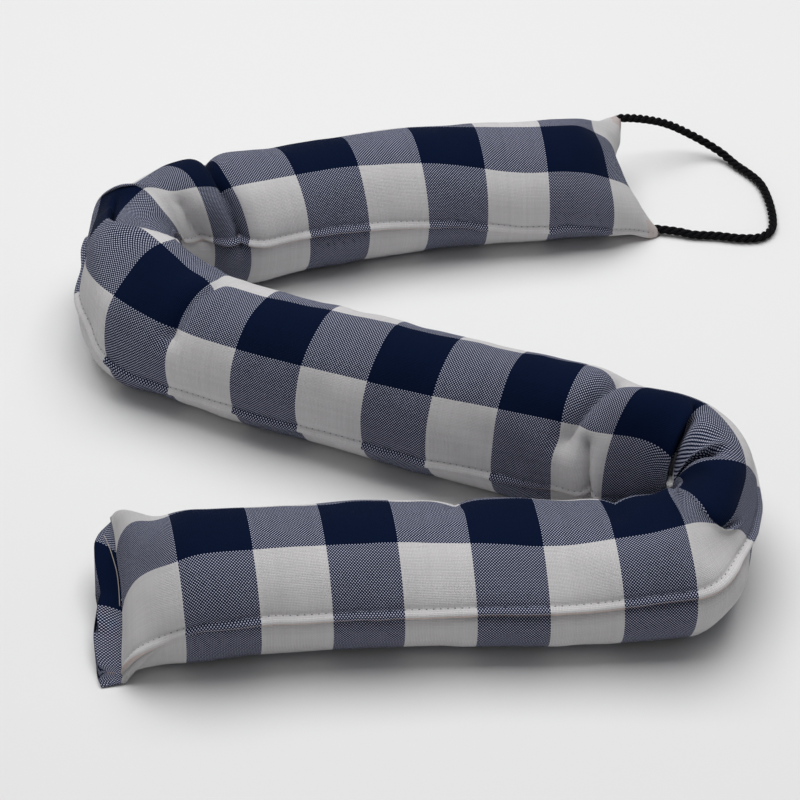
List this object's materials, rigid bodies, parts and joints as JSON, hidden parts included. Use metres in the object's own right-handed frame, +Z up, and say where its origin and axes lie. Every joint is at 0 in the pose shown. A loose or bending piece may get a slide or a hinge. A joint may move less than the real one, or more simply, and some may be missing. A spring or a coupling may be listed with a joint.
{
  "type": "draught excluder",
  "caption": "Long stuffed cloth tube that closes the gap under a door, laid in a flat Z, with a twisted cord loop at one end for hanging it up.",
  "frame": {"origin": "middle of the stuffed tube's bounding box in plan, on the surface that it lies on", "axes": "+Z up, +X to the right of the picture's viewer, +Y away from the viewer and along the longest side of the folded tube"},
  "size_m": [0.3203, 0.3756, 0.064],
  "materials": {
    "check_cotton": "matt woven cotton in a navy and white check",
    "black_cord": "matt twisted cord"
  },
  "bodies": {
    "root": {"cover": "check_cotton", "cord_loop": "black_cord"}
  },
  "joints": []
}
